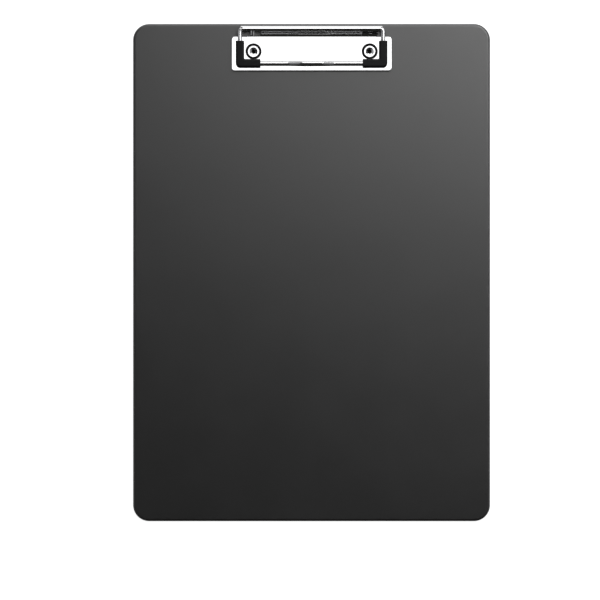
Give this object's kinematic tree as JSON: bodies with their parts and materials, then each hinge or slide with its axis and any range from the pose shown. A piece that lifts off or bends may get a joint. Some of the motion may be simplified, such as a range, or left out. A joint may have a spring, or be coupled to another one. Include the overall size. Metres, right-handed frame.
{
  "type": "clipboard",
  "caption": "Dark grey clipboard with a low-profile clip: a sprung wire bail with rubber corners, hinged in the rolled edge of a riveted chrome plate.",
  "frame": {"origin": "middle of the board's back face, which is the middle of the underside of the whole part's bounding box", "axes": "+X across the board towards its right-hand edge as one writes on it, +Y along the board towards the clip, +Z out of the writing face"},
  "size_m": [0.2224, 0.31, 0.012],
  "materials": {
    "board": "neutral dark grey, satin, with a very fine grain",
    "plate": "bright chrome on pressed steel sheet",
    "rivet": "bright nickel plate on steel",
    "wire": "bright chrome on spring steel wire",
    "sleeve": "black moulded rubber, satin"
  },
  "bodies": {
    "clipboard": {"board": "board", "clip_base_plate": "plate", "rivet_left": "rivet", "rivet_right": "rivet", "torsion_leg": "wire"},
    "bail": {"bail_wire": "wire", "corner_sleeve_left": "sleeve", "corner_sleeve_right": "sleeve"}
  },
  "joints": [
    {"name": "bail_hinge", "type": "hinge", "parent": "clipboard", "child": "bail", "pos_m": [0, 0.1517, 0.0074], "axis": [-1, 0, 0], "range_deg": [0, 35], "stiffness_Nm_per_rad": 1.5, "springref_deg": -16.04, "deforming": ["torsion_leg"]}
  ]
}
